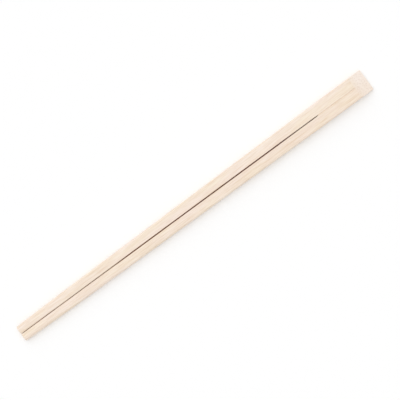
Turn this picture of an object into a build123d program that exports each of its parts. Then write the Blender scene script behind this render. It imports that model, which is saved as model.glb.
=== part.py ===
# A disposable pair of bamboo chopsticks, not yet snapped apart: two sticks sawn from one blank.
# Millimetres. X runs from the tips to the head, Y across the pair, Z up from the table.
# The origin is on the table, under the middle of the pair.
from build123d import *
from math import asin, degrees, sqrt
import os

# The blank's length, and its width across both sticks from the tips to the head
length = 240.0
tip_width = 9.5
nose_width = 10.45
shank_width = 11.25
grip_width = 13.2
head_width = 13.35
nose_from_tip = 28.0
shank_from_tip = 70.0
grip_from_head = 30.0

# Thickness: the underside is level, and the upper face slopes down to the tips
tip_thickness = 4.0
head_thickness = 5.0

# The four outer long edges, rounded more and more towards the tips, and the rounding of both ends
tip_edge_radius = 1.85
head_edge_radius = 0.95
end_radius = 0.4
least_side_flat = 0.2

# What planing takes off each face of the rounded blank to make that face flat
planing = 0.04

# The slanted cut across the head, and the rounding of its edge
facet_length = 9.0
head_end_thickness = 1.3
facet_edge_radius = 0.25

# The groove down the middle of each face, along which the pair is to split
tip_groove_width = 1.7
tip_groove_depth = 0.6
head_groove_width = 0.6
head_groove_depth = 0.35
groove_lip = 0.06

# The saw cut that parts the sticks, and the length at the head that it leaves joined
kerf = 0.45
joined_length = 36.4
blade_radius = 60.0
blade_overcut = 1.0

tip_x = -length / 2
head_x = length / 2
past_ends = 1.0


def along(tip_value, head_value, x):
    """A size at x that changes evenly from its value at the tips to its value at the head."""
    return tip_value + (head_value - tip_value) * (x - tip_x) / length


def face_plane(x, z, run, rise):
    """A plane across the pair through (x, z), rising by rise over run, with its normal upwards."""
    return Plane((x, 0, z), x_dir=(run, 0, rise), z_dir=(-rise, 0, run))


stations = (
    (tip_x, tip_width),
    (tip_x + nose_from_tip, nose_width),
    (tip_x + shank_from_tip, shank_width),
    (head_x - grip_from_head, grip_width),
    (head_x, head_width),
)

with BuildPart() as chopstick_pair:
    # One blank for both sticks: rounded sections that widen towards the head
    for x, width in stations:
        thickness = along(tip_thickness, head_thickness, x)
        radius = min(along(tip_edge_radius, head_edge_radius, x), (thickness - least_side_flat) / 2)
        with BuildSketch(Plane.YZ.offset(x)):
            with Locations((0, thickness / 2)):
                RectangleRounded(width, thickness + 2 * planing, radius)
    loft()
    cut_ends = chopstick_pair.faces().filter_by(Plane.YZ)
    fillet(cut_ends.edges(), end_radius)

    # Planing leaves the underside level and the upper face straight
    split(bisect_by=Plane.XY, keep=Keep.TOP)
    taper = head_thickness - tip_thickness
    split(bisect_by=face_plane(tip_x, tip_thickness, length, taper), keep=Keep.BOTTOM)

    # The slanted cut falls from the upper face to the thin end of the head
    fall = head_thickness - head_end_thickness
    facet = face_plane(head_x, head_end_thickness, facet_length, -fall)
    split(bisect_by=facet, keep=Keep.BOTTOM)
    facet_end = chopstick_pair.faces().filter_by(facet).edges().sort_by(Axis.X)[-1]
    fillet(facet_end, facet_edge_radius)

    # Both grooves: each flank bulges from the bottom of the groove out to the face
    for outwards in (1, -1):
        for x in (tip_x - past_ends, head_x + past_ends):
            face_z = along(tip_thickness, head_thickness, x) if outwards > 0 else 0
            half = along(tip_groove_width, head_groove_width, x) / 2
            floor_z = face_z - outwards * along(tip_groove_depth, head_groove_depth, x)
            lip = outwards * groove_lip
            with BuildSketch(Plane.YZ.offset(x)):
                with BuildLine():
                    Bezier((0, floor_z), (half / 2, face_z - lip), (half, face_z))
                    Polyline((half, face_z), (half * 3 / 2, face_z + lip), (0, face_z + lip))
                    mirror(about=Plane.YZ)
                make_face()
        loft(mode=Mode.SUBTRACT)

    # A round blade enters at the tips from below, so its cut ends further back on the upper face
    root_x = head_x - joined_length
    blade_top = along(tip_thickness, head_thickness, root_x) + blade_overcut
    blade_x = root_x - sqrt(blade_radius**2 - (blade_radius - blade_overcut) ** 2)
    blade_z = blade_top - blade_radius
    below = -blade_overcut
    low_angle = degrees(asin((below - blade_z) / blade_radius))
    with BuildSketch(Plane.XZ.offset(kerf / 2)):
        with BuildLine():
            rim = CenterArc((blade_x, blade_z), blade_radius, low_angle, 90 - low_angle)
            Polyline(rim @ 1, (tip_x - past_ends, blade_top), (tip_x - past_ends, below), rim @ 0)
        make_face()
    extrude(amount=-kerf, mode=Mode.SUBTRACT)

chopstick_pair.part.label = "chopstick_pair"
os.makedirs("parts", exist_ok=True)
export_step(chopstick_pair.part, "parts/chopstick_pair.step")
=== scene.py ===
# %% [markdown]
# # A pair of bamboo chopsticks, still joined at the head
#
# The real object is one strip of pale bamboo. A machine rounds it, saws it down the middle from the tips,
# cuts a groove in both faces along the line where it will snap, and chops the head off at a slant. Then a
# drum full of such pairs tumbles until no edge is sharp.
#
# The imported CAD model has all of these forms, and it stays the frame that everything is measured from. Its
# mesh is a few flat facets with sharp edges, though, and light on a long thin stick shows each of them. So
# this lesson keeps the form and works the surface out again, finely, with the softness that tumbling leaves.
# After that come the fibres of the bamboo, a white table, and the light.

from math import cos, pi, radians, sin, sqrt

import bmesh
import bpy
import numpy as np
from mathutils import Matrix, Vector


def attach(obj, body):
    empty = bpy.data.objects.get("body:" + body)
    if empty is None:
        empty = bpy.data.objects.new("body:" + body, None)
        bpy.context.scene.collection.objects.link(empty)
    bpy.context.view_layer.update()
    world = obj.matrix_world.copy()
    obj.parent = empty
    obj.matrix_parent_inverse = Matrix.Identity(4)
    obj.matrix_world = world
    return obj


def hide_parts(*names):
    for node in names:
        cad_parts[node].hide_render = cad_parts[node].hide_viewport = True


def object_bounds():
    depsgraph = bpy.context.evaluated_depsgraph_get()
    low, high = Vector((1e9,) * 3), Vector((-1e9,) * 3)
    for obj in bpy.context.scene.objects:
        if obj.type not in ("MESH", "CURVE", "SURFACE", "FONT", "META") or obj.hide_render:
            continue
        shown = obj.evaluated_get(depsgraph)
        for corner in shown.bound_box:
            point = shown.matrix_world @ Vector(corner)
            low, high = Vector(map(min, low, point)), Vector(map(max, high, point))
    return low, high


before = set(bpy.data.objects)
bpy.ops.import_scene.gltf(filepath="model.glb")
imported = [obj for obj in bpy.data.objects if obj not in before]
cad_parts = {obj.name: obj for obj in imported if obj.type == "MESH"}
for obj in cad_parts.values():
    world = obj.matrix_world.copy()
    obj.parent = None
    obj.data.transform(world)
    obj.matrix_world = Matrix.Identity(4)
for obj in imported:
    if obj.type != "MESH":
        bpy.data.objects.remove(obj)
cad_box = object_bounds()
MM = 0.001
cad_size = [round(side / MM, 2) for side in cad_box[1] - cad_box[0]]
print("the CAD model is", cad_size, "mm")

# %% [markdown]
# ## The sizes
#
# A mesh is in metres, but nobody thinks of a chopstick in metres. So every shape here is worked out in
# millimetres and multiplied by MM at the very end. The length comes from the frame. The other sizes are the
# ones that the machines are set to, and each is written once: where a size changes along the stick, it has
# one value at the tips and one at the head.

# %% Sizes of the blank
length = cad_size[0]
tip_x = -length / 2
head_x = length / 2
width_at = {0: 9.5, 28: 10.45, 70: 11.25, length - 30: 13.2, length: 13.35}
tip_thickness = 4.0
head_thickness = 5.0
tip_edge_radius = 1.85
head_edge_radius = 0.95
planing = 0.04
end_radius = 0.4
print(f"the blank is {length:.0f} mm long and {width_at[0]} to {width_at[length]} mm wide")

# %% Sizes of the cuts
facet_length = 9.0
head_end_thickness = 1.3
facet_end_softness = 0.1
tip_groove_width = 1.7
tip_groove_depth = 0.6
head_groove_width = 0.6
head_groove_depth = 0.35
groove_lip = 0.06
kerf = 0.45
joined_length = 36.4
blade_radius = 60.0
blade_overcut = 1.0
root_x = head_x - joined_length
print(f"the saw cut is {root_x - tip_x:.1f} mm long and leaves {joined_length} mm joined")

# %% [markdown]
# ## Laws along the stick
#
# A smooth loft through five sections is a polynomial of the fourth degree, so `polyfit` through the same
# five widths gives the CAD model's own curve. The thickness, the rounding and the groove change evenly, so
# a straight line does for them.
#
# No real strip keeps to its law exactly. `wander` adds three slow waves whose lengths never fall in step,
# which looks unplanned and still comes out the same on each run. The stick only ever loses wood by it, so
# it stays inside the CAD model's box.

# %% Functions of x, the place along the stick
width_law = np.polyfit([tip_x + place for place in width_at], list(width_at.values()), len(width_at) - 1)
wave_rates = (1, 2.3, 4.1)
wave_height = 0.3


def along(tip_value, head_value, x):
    """A size at x that changes evenly from its value at the tips to its value at the head."""
    return tip_value + (head_value - tip_value) * (x - tip_x) / length


def wander(x, wavelength, phase):
    """Three sines of x, the later ones shorter and weaker, brought between 0 and 1."""
    waves = sum(np.sin(2 * pi * x * rate / wavelength + phase * rate**2) / rate for rate in wave_rates)
    return np.clip(0.5 + wave_height * waves, 0, 1)


def rounding(distance):
    """How far a rounded end draws in at a distance from it: a quarter circle of end_radius."""
    left = np.clip(end_radius - distance, 0, end_radius)
    return end_radius - np.sqrt(end_radius**2 - left**2)


for place in (0, length / 2, length):
    x = tip_x + place
    print(f"{place:.0f} mm from the tips: {np.polyval(width_law, x):.2f} wide, "
          f"{along(tip_thickness, head_thickness, x):.2f} thick")

# %% [markdown]
# ## The groove and the crown
#
# The groove is what makes the pair snap cleanly. Its flank is a curve with three control points: the bottom
# of the groove, a point a hair under the face, and the lip. Written out, the depth at a share u of the way
# to the lip is the full depth times the square of what is left, plus a small bulge that is widest halfway.
#
# Tumbling wears the thin end most. There the flat face has become a low crown, which is why light rolls
# across the tips and lies evenly on the head. The crown here is a parabola across each face.

# %% Functions of x and y, the place across the pair
tip_crown = 0.2
lip_wander = 0.08
lip_wavelength = 17.0
lip_phase = 2


def crown(x):
    """How far the face's edges lie below its middle, by the square of the distance to the head."""
    return tip_crown * ((head_x - x) / length) ** 2


def groove_half(x):
    """Half the groove's width, which wavers a little along the stick."""
    straight = along(tip_groove_width, head_groove_width, x) / 2
    return straight * (1 - lip_wander * wander(x, lip_wavelength, lip_phase))


def groove_dip(x, y):
    """How far the groove lies below its lips: depth (1 - u)^2 + 2 lip u (1 - u), where u is 1 at the lip."""
    u = np.minimum(np.abs(y) / groove_half(x), 1)
    depth = along(tip_groove_depth, head_groove_depth, x)
    return depth * (1 - u) ** 2 + 2 * groove_lip * u * (1 - u)


def groove_z(x, y, face):
    """The height of the groove's surface, on the upper face where face is 1, and below where it is -1."""
    thickness = along(tip_thickness, head_thickness, x)
    sunk = rounding(x - tip_x) + rounding(head_x - x) + crown(x) + groove_dip(x, y)
    return np.where(face > 0, thickness - sunk, sunk)


print(f"the groove is {2 * groove_half(tip_x):.2f} mm wide at the tips and "
      f"{2 * groove_half(head_x):.2f} mm at the head")

# %% [markdown]
# ## One stick's skin
#
# The skin could be drawn as a curve and swept, but its section changes all the way along. A function of two
# parameters says the same in a few lines: x goes along the stick, and c goes round it, one unit for each
# stretch of the section. The lower half is the upper half turned over, so c only has to be folded back.
# NumPy works out every point of the grid at once, whatever arrays x and c are.
#
# Once sawn, a pair dries on, and each thin end leans in by about a tenth of a millimetre. So the slit is as
# wide as the saw at the end of the cut and less than half that near the tips, where its mouth is rounded.

# %% The skin as a function of x and c
tip_mouth_share = 0.6
tip_lean = 0.13
side_wander = 0.05
side_wavelength = 47.0


def lean(x):
    """How far a stick has leaned in at x: tip_lean at the tips, and evenly less to the end of the cut."""
    return tip_lean * (root_x - x) / (root_x - tip_x)


def slit_half(x):
    """Half the slit's width: half the blade's, less the lean, and rounded open at the tips."""
    return kerf / 2 - np.maximum(lean(x), 0) + tip_mouth_share * rounding(x - tip_x)


def skin(x, c, stick):
    """Points of one stick's skin; stick is 1 or -1, the side it lies on.
    c from 0 to 1 climbs the groove's flank, to 2 it crosses the crowned face, to 3 it goes round the edge,
    where y follows the cosine and z the sine of a shrinking angle, and to 4 it goes down to the middle of the
    side. From 4 to 8 it goes back the same way along the underside."""
    flank, face, edge, side = (np.clip(np.where(c > 4, 8 - c, c) - start, 0, 1) for start in range(4))
    worn = rounding(x - tip_x) + rounding(head_x - x)
    thickness = along(tip_thickness, head_thickness, x)
    radius = along(tip_edge_radius, head_edge_radius, x) - worn
    half = np.polyval(width_law, x) / 2 - worn - side_wander * wander(x, side_wavelength, stick)
    first_angle = np.arcsin(1 - (planing + crown(x)) / radius)
    angle = first_angle * (1 - edge)
    slit = slit_half(x)
    lip = groove_half(x)
    face_end = half - radius * (1 - np.cos(first_angle))
    y = slit + (lip - slit) * flank + (face_end - lip) * face
    sunk = worn + crown(x) * (2 * face - 1) ** 2 + groove_dip(x, y)
    y = y + radius * (np.cos(angle) - np.cos(first_angle))
    z = thickness - sunk - radius * (np.sin(first_angle) - np.sin(angle))
    z = z + (thickness / 2 - z) * side
    z = np.where(c > 4, thickness - z, z)
    return np.stack(np.broadcast_arrays(x, stick * y, z), axis=-1)


print(f"the slit is {2 * slit_half(root_x):.2f} mm wide at the end of the cut and "
      f"{2 * slit_half(tip_x + end_radius):.2f} mm just inside its mouth")

# %% [markdown]
# ## Where the cuts end
#
# Two cuts end lines that run along the stick. The slanted chop across the head is a plane, softened where it
# turns into the square end. The saw is a round blade, so its cut ends on an arc, nearer the head on the
# underside than on top.
#
# Where a line along the skin meets a cut, its x depends on its height and its height on x. Guessing x,
# taking the height there, and putting x back on the cut comes closer each time, because the sticks hardly
# taper. `settle` does just that, for more rounds than it needs.

# %% The slanted head and the blade's rim
slant = (head_thickness - head_end_thickness) / facet_length
blade_top = along(tip_thickness, head_thickness, root_x) + blade_overcut
blade_x = root_x - sqrt(blade_radius**2 - (blade_radius - blade_overcut) ** 2)
blade_z = blade_top - blade_radius
settling_rounds = 16


def head_cut_x(z):
    """The head's x at a height: the lesser of the square end and the slanted line, blended by a hyperbola."""
    slanted = head_x - (z - head_end_thickness) / slant
    return (head_x + slanted - np.sqrt((head_x - slanted) ** 2 + facet_end_softness**2)) / 2


def rim_x(z):
    """The x of the blade's rim at a height, by Pythagoras."""
    return blade_x + np.sqrt(blade_radius**2 - (z - blade_z) ** 2)


def rim_z(x):
    """The height of the blade's rim at x, by Pythagoras."""
    return blade_z + np.sqrt(blade_radius**2 - (x - blade_x) ** 2)


def settle(improve, guess):
    """The x that improve gives back unchanged, found by improving a guess again and again."""
    for _ in range(settling_rounds):
        guess = improve(guess)
    return guess


def groove_root(y, face):
    """The x where the saw cut runs out of the groove on one face."""
    return settle(lambda x: rim_x(groove_z(x, y, face)), root_x + 0 * y)


def groove_end(y, face):
    """The x where the groove on one face meets the cut head."""
    return settle(lambda x: head_cut_x(groove_z(x, y, face)), head_x + 0 * y)


def skin_end(c, stick):
    """The x where a line along the skin meets the cut head."""
    return settle(lambda x: head_cut_x(skin(x, c, stick)[..., 2]), head_x + 0 * c)


upper_root = float(groove_root(np.array(kerf / 2), 1))
lower_root = float(groove_root(np.array(kerf / 2), -1))
print(f"in the grooves the saw cut ends {head_x - upper_root:.1f} mm from the head on top and "
      f"{head_x - lower_root:.1f} mm from it underneath")

# %% [markdown]
# ## Rows and columns
#
# Every patch of the surface shares its border points with its neighbours, and then they only have to be
# merged. So the rows along the stick and the columns round it are settled once, here. Rows are close
# together at both ends, where the surface turns fast, and one row stands exactly where the saw cut ends on
# each face. Columns are close together at the slit, round the edge, and low on the side, where the head's
# slanted cut turns into its square end. The cut ends will need the columns as a top, an outer side and an
# underside, and the three meet halfway round the edges.

# %% The grid's rows and columns
row_pitch = 1.5
near_end = np.array([0, 0.12, 0.27, 0.4, 0.8])
flank_columns = [0, 0.15, 0.4, 0.7]
face_columns = [1, 1.05, 1.25, 1.5, 1.75, 1.95]
edge_columns = [2, 2.17, 2.33, 2.5, 2.67, 2.83]
side_columns = [3, 3.5, 4, 4.4, 4.62, 4.7, 4.76, 4.83, 4.92]


def spread(start, end):
    """Points about row_pitch apart, with one at each end."""
    return np.linspace(start, end, round((end - start) / row_pitch) + 1)


rows = np.concatenate((
    tip_x + near_end,
    spread(tip_x + row_pitch, upper_root),
    spread(upper_root, lower_root)[1:],
    spread(lower_root, head_x - row_pitch)[1:],
    head_x - near_end[::-1],
))
turned_back = [8 - c for c in (flank_columns + face_columns + edge_columns)[::-1]]
columns = np.array(flank_columns + face_columns + edge_columns + side_columns + turned_back)
upper_corner, lower_corner = 2.5, 5.5
top_columns = columns[columns <= upper_corner]
outer_columns = columns[(columns >= upper_corner) & (columns <= lower_corner)]
under_columns = columns[columns >= lower_corner]
print(len(rows), "rows and", len(columns), "columns a stick")

# %% [markdown]
# ## The patches
#
# The skin's rows are straight across until they near the head, and then they fan out until the last one lies
# on the slanted cut. The walls of the slit go down from one groove to the other, and beyond the end of the
# cut on top they start at the blade's rim. A narrow strip of groove joins the two sticks at the head, and
# the rim itself closes the slit. A row belongs to a patch if it comes within `touch` of the patch's end.

# %% The skins and the walls of the slit
fan_x = lower_root + row_pitch
fan = np.clip((rows - fan_x) / (head_x - fan_x), 0, 1)[:, None]
touch = 0.001
sawn_rows = rows[rows <= lower_root + touch]


def skin_patch(stick):
    """The skin from the tips to the cut head, with rows that fan out to the cut."""
    x = rows[:, None] + (skin_end(columns, stick) - head_x) * fan
    return skin(x, columns, stick)


def share_down(x, stick):
    """How far down the outer side each of its points lies, from 0 at its top to 1 at its foot."""
    z = skin(x, outer_columns, stick)[..., 2]
    return (z[..., :1] - z) / (z[..., :1] - z[..., -1:])


def wall_patch(stick):
    """One wall of the slit: straight down from the groove, or the blade's rim, to the groove below."""
    x = sawn_rows[:, None]
    upper = skin(x, np.array([0.0]), stick)
    lower = skin(x, np.array([8.0]), stick)
    top = np.where(x > upper_root, rim_z(np.maximum(x, upper_root)), upper[..., 2])
    z = top + (lower[..., 2] - top) * share_down(x, stick)
    return np.stack(np.broadcast_arrays(x, upper[..., 1], z), axis=-1)


print("points in a skin:", skin_patch(1).shape[:2], "and in a wall:", wall_patch(1).shape[:2])

# %% The joined groove and the rim that closes the slit
across = kerf / 2 * np.linspace(-1, 1, 5)
root_fade = 9.0


def strip_patch(face):
    """The groove's bottom from the end of the saw cut to the head, on one face."""
    first = upper_root if face > 0 else lower_root
    x = rows[rows >= first - touch][:, None]
    beyond = (groove_root(across, face) - first) * np.clip(1 - (x - first) / root_fade, 0, 1)
    x = x + beyond + (groove_end(across, face) - head_x) * np.clip((x - fan_x) / (head_x - fan_x), 0, 1)
    return np.stack(np.broadcast_arrays(x, across, groove_z(x, across, face)), axis=-1)


def rim_patch():
    """The end of the slit: an arc of the blade's rim carried straight across the kerf."""
    x = rows[(rows >= upper_root - touch) & (rows <= lower_root + touch)][:, None]
    share = (x - upper_root) / (lower_root - upper_root)
    x = groove_root(across, 1) * (1 - share) + groove_root(across, -1) * share
    return np.stack(np.broadcast_arrays(x, across, rim_z(x)), axis=-1)


print("points in the groove:", strip_patch(1).shape[:2], "and in the rim:", rim_patch().shape[:2])

# %% [markdown]
# ## The cut ends
#
# Each end is a sheet stretched in a frame of four borders, which the skin and the slit's walls give. A fan
# of triangles from the middle would do, but the softening further on needs even four-sided cells. A Coons
# patch gives those: it adds the sheet ruled from top to bottom to the sheet ruled from left to right, and
# takes off the corners that were counted twice.
#
# At the head that is done in y and z alone. Then the cut gives each point its x, so that the sheet bends
# exactly where the slanted cut turns into the square end.

# %% Filling a frame of four borders
def fill(top, bottom, left, right):
    """A sheet of (y, z) between four borders: lines down plus lines across, less the blend of the corners."""
    down = ((right[0, 1] - right[:, 1]) / (right[0, 1] - right[-1, 1]))[:, None, None]
    over = ((top[:, 0] - top[0, 0]) / (top[-1, 0] - top[0, 0]))[None, :, None]
    lines_down = (1 - down) * top[None] + down * bottom[None]
    lines_over = (1 - over) * left[:, None] + over * right[:, None]
    corners_up = (1 - over) * top[0] + over * top[-1]
    corners_low = (1 - over) * bottom[0] + over * bottom[-1]
    return lines_down + lines_over - (1 - down) * corners_up - down * corners_low


def tip_end(stick):
    """The square end of one stick at the tips, between its skin and its wall of the slit."""
    x = np.array([[tip_x]])
    top = skin(x, top_columns, stick)[0, :, 1:]
    bottom = skin(x, under_columns[::-1], stick)[0, :, 1:]
    outer = skin(x, outer_columns, stick)[0, :, 1:]
    wall = wall_patch(stick)[0, :, 1:]
    sheet = fill(top, bottom, wall, outer)
    return np.concatenate((np.full(sheet.shape[:2] + (1,), tip_x), sheet), axis=-1)


def head_border(column_set, stick):
    """The (y, z) of the skin's last row, for some of its columns."""
    return skin(skin_end(column_set, stick), column_set, stick)[..., 1:]


def head_end():
    """The slanted cut and the square end of the head, in one sheet across both sticks."""
    borders = []
    for face, column_set in ((1, top_columns), (-1, under_columns[::-1])):
        middle = strip_patch(face)[-1, 1:-1, 1:]
        far, near = head_border(column_set, -1)[::-1], head_border(column_set, 1)
        borders.append(np.concatenate((far, middle, near)))
    sheet = fill(*borders, head_border(outer_columns, -1), head_border(outer_columns, 1))
    return np.concatenate((head_cut_x(sheet[..., 1:]), sheet), axis=-1)


print("points in a tip's end:", tip_end(1).shape[:2], "and in the head's:", head_end().shape[:2])

# %% [markdown]
# ## Sewing the patches together
#
# All patches go into one mesh as they are, with every border there twice. Merging points that lie on each
# other sews them. After that each edge must have exactly two faces, which is how a mesh says that it is
# closed, and only then can the normals be turned outwards with certainty.
#
# A Subdivision Surface modifier does the tumbling: it rounds each edge by about the distance to the next
# line of the grid, which is a tenth of a millimetre or two at the cuts and next to nothing elsewhere.

# %% From grids to one closed mesh
weld_distance = 1e-6


def quads(patch, first):
    """The four-sided faces of a grid of points whose first point has the number first."""
    number = first + np.arange(patch.shape[0] * patch.shape[1]).reshape(patch.shape[:2])
    corners = (number[:-1, :-1], number[1:, :-1], number[1:, 1:], number[:-1, 1:])
    return np.stack(corners, axis=-1).reshape(-1, 4)


def sewn(name, patches):
    """One object of all the patches, in metres, with shared borders merged and faces turned outwards."""
    starts = np.cumsum([0] + [patch.shape[0] * patch.shape[1] for patch in patches])
    points = np.concatenate([patch.reshape(-1, 3) for patch in patches]) * MM
    faces = np.concatenate([quads(patch, first) for patch, first in zip(patches, starts)])
    mesh = bpy.data.meshes.new(name)
    mesh.from_pydata(points.tolist(), [], faces.tolist())
    work = bmesh.new()
    work.from_mesh(mesh)
    bmesh.ops.remove_doubles(work, verts=work.verts, dist=weld_distance)
    bmesh.ops.recalc_face_normals(work, faces=work.faces)
    open_edges = sum(not edge.is_manifold for edge in work.edges)
    volume = work.calc_volume(signed=True) / MM**3
    work.to_mesh(mesh)
    work.free()
    mesh.shade_smooth()
    piece = bpy.data.objects.new(name, mesh)
    bpy.context.scene.collection.objects.link(piece)
    print(name, "has", len(mesh.polygons), "faces,", open_edges, "open edges and", round(volume), "mm3")
    return piece


# %% The pair of sticks
patches = [strip_patch(1), strip_patch(-1), rim_patch(), head_end()]
for stick in (1, -1):
    patches += [skin_patch(stick), wall_patch(stick), tip_end(stick)]
sticks = sewn("bamboo_sticks", patches)

tumbling = sticks.modifiers.new("tumbling", "SUBSURF")
tumbling.levels = 1
tumbling.render_levels = 1

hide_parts("chopstick_pair")
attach(sticks, "root")

# %% [markdown]
# ## Node maths that reads like maths
#
# A material is a tree of nodes, and this one has more than a hundred. Written out node by node, that hides
# what it works out. So one small class wraps the output socket of a node. Adding, subtracting or multiplying
# such sockets adds the Math node that does it, and `node` adds any other kind: first its settings, then its
# inputs. Because the operators are the usual ones, `lean` works on sockets just as it did on arrays.

# %% A socket that can be used in a sum
class Socket:
    """The output socket of a shader node, with the operators that the materials below use. One without an
    output stands for the tree alone, and its `node` starts a new branch."""

    def __init__(self, tree, output=None):
        self.tree = tree
        self.output = output

    def node(self, kind, inputs=None, output=0, **settings):
        """Adds a node of a kind: its settings are set first, then the values or links of its inputs."""
        made = self.tree.nodes.new(kind)
        for name, setting in settings.items():
            setattr(made, name, setting)
        for key, given in (inputs or {}).items():
            if isinstance(given, Socket):
                self.tree.links.new(given.output, made.inputs[key])
            else:
                made.inputs[key].default_value = given
        return Socket(self.tree, made.outputs[output])

    def maths(self, operation, first, second=0.0):
        """A Math node of one or two values."""
        return self.node("ShaderNodeMath", {0: first, 1: second}, operation=operation)

    def __add__(self, other):
        return self.maths("ADD", self, other)

    def __sub__(self, other):
        return self.maths("SUBTRACT", self, other)

    def __rsub__(self, other):
        return self.maths("SUBTRACT", other, self)

    def __mul__(self, other):
        return self.maths("MULTIPLY", self, other)

    def __truediv__(self, other):
        return self.maths("DIVIDE", self, other)

    def __pow__(self, other):
        return self.maths("POWER", self, other)

    def __abs__(self):
        return self.maths("ABSOLUTE", self)

    def at_least(self, other):
        """The greater of this and another value."""
        return self.maths("MAXIMUM", self, other)

    __radd__ = __add__
    __rmul__ = __mul__


# %% A climb, a mix and a grain
def step(value, start, end):
    """0 at start and 1 at end, with a smooth climb between; start may also be the larger one."""
    inputs = {"Value": value, "From Min": start, "From Max": end}
    return value.node("ShaderNodeMapRange", inputs, interpolation_type="SMOOTHSTEP")


def blend(factor, first, second, kind="MIX"):
    """A colour between two colours, or the first multiplied by the second, by a factor from 0 to 1.
    A Mix node has its two colours at the inputs 6 and 7, and the mixed one at the output 2."""
    inputs = {0: factor, 6: first, 7: second}
    return factor.node("ShaderNodeMix", inputs, output=2, data_type="RGBA", blend_type=kind)


def grain(x, y, z, long, wide, detail=2.0):
    """Smooth noise from 0 to 1, whose hills are `long` millimetres along the stick and `wide` across it."""
    point = x.node("ShaderNodeCombineXYZ", {0: x / long, 1: y / wide, 2: z / wide})
    return x.node("ShaderNodeTexNoise", {"Vector": point, "Scale": 1.0, "Detail": detail})


# %% [markdown]
# ## Bamboo
#
# Bamboo is a soft pale ground with bundles of hard brown fibre running through it along the stalk. On the
# long faces a bundle shows as a faint streak, and where the stick is cut across, as a dot. Two patterns,
# streaks for the sides and dots for the ends, would never meet at the edges. So the bundles are made once,
# in the solid: dots in the plane of the section that hold all along the stick. A long face cuts them
# lengthwise and shows streaks, and the slanted head shows dots drawn out by its slant, with no seam.
#
# The bundles sway a little, so that streaks come up to the face and leave it. A grain sways them sideways,
# and upwards it is the same grain, read far along the stick, where it is unlike the first. They are finer
# and closer towards the outer skin of the stalk, which is the underside here. The sizes are in millimetres.

# %% The bundles of fibre
bundle_pitch = 0.8
bundle_radius = 0.15
bundle_edge = 0.06
bundle_scatter = 0.9
bundle_sway = 0.8
faintest_bundle = 0.35
skin_pitch = 0.45
skin_starts = 2.2
skin_dense = 0.4
far_along = 2800.0


def millimetres(tree):
    """Object coordinates x, y and z in millimetres."""
    place = tree.node("ShaderNodeTexCoord", output="Object")
    scaled = tree.node("ShaderNodeVectorMath", {0: place, "Scale": 1 / MM}, operation="SCALE")
    return [tree.node("ShaderNodeSeparateXYZ", {0: scaled}, output=axis) for axis in range(3)]


def dots(y, z, pitch, radius):
    """1 inside round spots scattered over the section about a pitch apart, and 0 between them."""
    point = y.node("ShaderNodeCombineXYZ", {0: y, 1: z})
    inputs = {"Vector": point, "Scale": 1 / pitch, "Randomness": bundle_scatter}
    distance = y.node("ShaderNodeTexVoronoi", inputs, voronoi_dimensions="2D") * pitch
    return step(distance, radius + bundle_edge / 2, radius - bundle_edge / 2)


def fibre_bundles(x, y, z):
    """Large bundles throughout and small ones near the underside: dots in y and z, both swayed by slow
    grain that changes with x, times a strength that comes and goes along the stick."""
    sideways = bundle_sway * (grain(x, y, z, long=55, wide=6) - 0.5)
    upwards = bundle_sway * (grain(x + far_along, y, z, long=70, wide=6) - 0.5)
    large = dots(y + sideways, z + upwards, bundle_pitch, bundle_radius)
    small = dots(y + sideways, z + upwards, skin_pitch, bundle_radius / 2)
    both = large.at_least(small * step(z, skin_starts, skin_dense))
    strength = step(grain(x, y, z, long=30, wide=1.2), 0.35, 0.65)
    return both * (faintest_bundle + (1 - faintest_bundle) * strength)


# %% [markdown]
# ## Painted shade in the slit
#
# Little light gets down the narrow slit, and that shade is painted into the colour in dark brown: on the
# walls of the slit and on the wood a hair beside them, most in the middle of the cut and less at the tips and
# at the end of the cut. This is why the slit reads as a brown line.
#
# The end of the cut is the rim of the round blade, so one distance tells whether wood was in its reach: the
# distance from the place where the blade's centre stopped, or, nearer the tips, from the line along which the
# centre came.

# %% How much painted shade the slit gets
# painted shade in the slit: how far from the wall it fades, its share at the ends of the cut, and where it
# climbs
rim_blur = 0.4
slit_shade_full = 0.03
slit_shade_reach = 0.36
slit_shade_at_ends = 0.27
pale_tips_length = 62.0
pale_root_length = 10.0
shade_climb = 16.0


def painted_slit_shade(x, y, z):
    """Painted shade, 0 to 1: the blade's reach by Pythagoras, times a share along x, times a fade from the
    slit.
    """
    beyond_centre = (x - blade_x).at_least(0.0)
    distance = (beyond_centre**2 + (z - blade_z) ** 2) ** 0.5
    reached = step(distance, blade_radius + rim_blur, blade_radius - rim_blur)
    past_tips = step(x, tip_x + pale_tips_length, tip_x + pale_tips_length + shade_climb)
    near_root = step(x, root_x - pale_root_length - shade_climb, root_x - pale_root_length)
    shade_share = slit_shade_at_ends + (1 - slit_shade_at_ends) * past_tips * (1 - near_root)
    from_wall = abs(y) + lean(x) - kerf / 2
    return reached * shade_share * step(from_wall, slit_shade_reach, slit_shade_full)


# %% [markdown]
# ## The finish
#
# Disposable pairs are dried and lightly bleached, so the ground is a cream that drifts between a pinker and
# a yellower shade. Four things draw on it: the bundles, hair-thin fibres, broader streaks, and short ticks
# where a fibre was cut through by the planing. Each is a grain of its own length and width. Noise seldom
# strays far from 0.5, so a climb between two values near it leaves marks with bare ground between them.
#
# One stick lay nearer the outer skin of the stalk and is a shade warmer, more so towards the head. A cut end
# is paler than the sides, and its dots are the bundles seen end on. How much a face cuts across the fibres
# is how far its normal leans along x. Tumbling has polished the upper rim of the slanted cut nearly to the
# tone of the sides. The bottom of the groove gets a little painted shade, which keeps the line to be seen
# right up to the cut.
#
# Everything that changes over the surface goes to the colour, the roughness or the bump. The bump is shallow:
# a bundle stands a few hundredths of a millimetre proud at a cut end, and next to nothing on the sides.

# %% Where a stick is warmer, less bare or given painted shade in its groove
warm_half = 2.5
warm_at_tips = 0.3
warm_from, warm_to = -60.0, 80.0
# painted shade at the bottom of the groove: how dark, and how wide
rim_bareness = 0.4
groove_shade_strength = 0.07
groove_shade_half, groove_shade_edge = 0.1, 0.4


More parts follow.
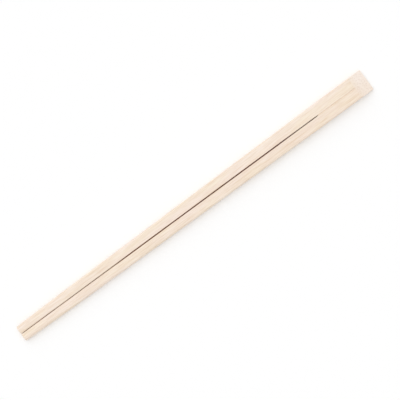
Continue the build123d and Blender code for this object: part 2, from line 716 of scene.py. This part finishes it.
def warmth(x, y):
    """0 on one stick and 1 on the other, times a share that climbs along the stick."""
    return step(y, warm_half, -warm_half) * (warm_at_tips + (1 - warm_at_tips) * step(x, warm_from, warm_to))


def bareness(x):
    """How pale a cut is: rim_bareness at the upper rim of the slanted cut, and 1 from halfway down."""
    rim_place = head_x - facet_length
    return rim_bareness + (1 - rim_bareness) * step(abs(x), rim_place, rim_place + facet_length / 2)


def painted_groove_shade(y):
    """How much painted shade the groove gets: the most at its bottom, and 0 beyond its edge."""
    return groove_shade_strength * step(abs(y), groove_shade_edge, groove_shade_half)


print(f"the stick with y below {-warm_half} mm is the warmer one")

# %% The bamboo material
PINK_CREAM = (0.956, 0.835, 0.748, 1)
YELLOW_CREAM = (0.956, 0.845, 0.702, 1)
STREAK = (0.80, 0.62, 0.46, 1)
WARM_SIDE = (0.98, 0.965, 0.94, 1)
CUT_GROUND = (0.97, 0.86, 0.77, 1)
CUT_BUNDLE = (0.66, 0.49, 0.38, 1)
# painted shade: the dark brown given to the slit and the bottom of the groove
PAINTED_SHADE_BROWN = (0.32, 0.10, 0.025, 1)
bundle_mark, hair_mark, streak_mark, tick_mark = 0.32, 0.2, 0.32, 0.36
bundle_dot, end_streak = 0.42, 0.1
side_slope, end_slope = 0.12, 0.3
wood_roughness, hair_roughness, cut_roughness = 0.58, 0.15, 0.15
proud_on_side, proud_hair = 0.25, 0.3
bump_height = 0.03


def bamboo_finish():
    """Pale bamboo: bundles, finer marks, the lean of each face, and painted shade in the slit and the groove.
    """
    material = bpy.data.materials.new("bamboo")
    material.use_nodes = True
    tree = Socket(material.node_tree)
    shader = material.node_tree.nodes["Principled BSDF"]
    x, y, z = millimetres(tree)
    bundles = fibre_bundles(x, y, z)
    hairs = step(grain(x, y, z, long=20, wide=0.11, detail=3.0), 0.45, 0.8)
    streaks = step(grain(x, y, z, long=14, wide=0.6), 0.35, 0.65)
    ticks = step(grain(x, y, z, long=6, wide=0.35), 0.4, 0.7)
    shade = step(grain(x, y, z, long=22, wide=3.5), 0.3, 0.7)
    normal = tree.node("ShaderNodeTexCoord", output="Normal")
    cut = step(abs(tree.node("ShaderNodeSeparateXYZ", {0: normal})), side_slope, end_slope)

    marks = bundle_mark * bundles + hair_mark * hairs + streak_mark * streaks + tick_mark * ticks
    side = blend(marks, blend(shade, PINK_CREAM, YELLOW_CREAM), STREAK)
    end = blend(bundle_dot * bundles + end_streak * streaks, CUT_GROUND, CUT_BUNDLE)
    wood = blend(warmth(x, y), blend(cut * bareness(x), side, end), WARM_SIDE, kind="MULTIPLY")
    # painted shade: the slit and the bottom of the groove are darkened in the colour
    colour = blend(painted_slit_shade(x, y, z) + painted_groove_shade(y) * (1 - cut), wood, PAINTED_SHADE_BROWN)

    roughness = wood_roughness + hair_roughness * hairs + cut_roughness * cut
    height = (proud_on_side + (1 - proud_on_side) * cut) * bundles + proud_hair * hairs
    bump = tree.node("ShaderNodeBump", {"Height": height, "Distance": bump_height * MM, "Strength": 1.0})
    for name, value in (("Base Color", colour), ("Roughness", roughness), ("Normal", bump)):
        material.node_tree.links.new(value.output, shader.inputs[name])
    print("the bamboo material has", len(material.node_tree.nodes), "nodes")
    return material


sticks.data.materials.append(bamboo_finish())

# %% [markdown]
# ## The table and the light
#
# A sun lamp with a wide angle gives soft shadows and, unlike a lamp that stands near, the same light all over
# the table, which then needs no brightening to be an even white. It stands on the far side of the pair, to
# the upper left of the picture, so that the outer edge of one stick and the inner edge of the other catch it.
#
# The rest comes from a sky that is brighter overhead than at its rim, as over a table under a broad diffuser.
# A rounded edge turns away from the bright part and so comes out a little darker. The camera and mirrors see
# the sky plain white. Sun and sky are set so that together they light a level white surface to exactly white:
# the sky gives its mean strength, and the sun its strength times the cosine of its slope, over pi.

# %% The white table
floor_half = 3.0
floor_drop = 0.01 * MM


def white_table():
    """A level plate just under the pair, in plain matt white, so large that no edge shows nearby."""
    corners = [(floor_half * i, floor_half * j, -floor_drop) for i, j in ((-1, -1), (1, -1), (1, 1), (-1, 1))]
    mesh = bpy.data.meshes.new("table")
    mesh.from_pydata(corners, [], [(0, 1, 2, 3)])
    table = bpy.data.objects.new("table", mesh)
    bpy.context.scene.collection.objects.link(table)
    material = bpy.data.materials.new("table_white")
    material.use_nodes = True
    shader = material.node_tree.nodes["Principled BSDF"]
    shader.inputs["Base Color"].default_value = (1, 1, 1, 1)
    shader.inputs["Roughness"].default_value = 1.0
    shader.inputs["Specular IOR Level"].default_value = 0.0
    mesh.materials.append(material)
    return table


white_table()

# %% The sun and the sky
picture_turn = radians(36.4)
sky_light = 0.78
sun_slope = radians(35)
sun_turn = radians(135)
sun_width = radians(90)
overhead_share = 0.4


def sun_lamp():
    """A wide sun, sloping down from the upper left of the picture, that brings the table up to white."""
    light = bpy.data.lights.new("sun", "SUN")
    light.energy = (1 - sky_light) * pi / cos(sun_slope)
    light.angle = sun_width
    lamp = bpy.data.objects.new("sun", light)
    lamp.rotation_euler = (0, sun_slope, sun_turn - picture_turn)
    bpy.context.scene.collection.objects.link(lamp)


def white_sky():
    """A sky whose light is even apart from a share that grows with the height of the direction. On a level
    surface that height averages two thirds, so the factor 1.5 keeps the mean at sky_light."""
    world = bpy.data.worlds.new("sky")
    bpy.context.scene.world = world
    world.use_nodes = True
    tree = Socket(world.node_tree)
    direction = tree.node("ShaderNodeTexCoord", output="Generated")
    height = tree.node("ShaderNodeSeparateXYZ", {0: direction}, output="Z").at_least(0.0)
    light = sky_light * (1 - overhead_share + overhead_share * 1.5 * height)
    rays = ("Is Camera Ray", "Is Glossy Ray", "Is Transmission Ray")
    to_camera, to_mirror, to_glass = (tree.node("ShaderNodeLightPath", output=ray) for ray in rays)
    seen = to_camera.at_least(to_mirror).at_least(to_glass)
    background = world.node_tree.nodes["Background"]
    background.inputs["Color"].default_value = (1, 1, 1, 1)
    world.node_tree.links.new((light + (1 - light) * seen).output, background.inputs["Strength"])


sun_lamp()
white_sky()
print(f"the sky gives {sky_light:.0%} of the table's light and the sun the rest")

# %% [markdown]
# ## The camera
#
# The picture was taken from straight above, with the pair lying from the lower left to the upper right. The
# scale of the picture gives the distance: a lens sees its sensor's width over its focal length, times the
# distance. The scale was measured on the wood, so the distance counts from a little above the table. The
# pair's middle lies a little left of the picture's and below it.

# %% The camera above the table
picture_width = 223.9 * MM
lens = 85.0
sensor = 36.0
middle_right = 3.27 * MM
middle_up = 3.7 * MM
measured_height = 1.5 * MM

camera_data = bpy.data.cameras.new("camera")
camera_data.lens = lens
camera_data.sensor_width = sensor
camera = bpy.data.objects.new("camera", camera_data)
right = np.array((cos(picture_turn), -sin(picture_turn), 0))
up = np.array((sin(picture_turn), cos(picture_turn), 0))
above = np.array((0, 0, picture_width * lens / sensor + measured_height))
camera.location = middle_right * right + middle_up * up + above
camera.rotation_euler = (0, 0, -picture_turn)
bpy.context.scene.collection.objects.link(camera)
bpy.context.scene.camera = camera
bpy.context.scene.view_settings.view_transform = "Standard"
print(f"the camera hangs {camera.location.z:.3f} m above the table")
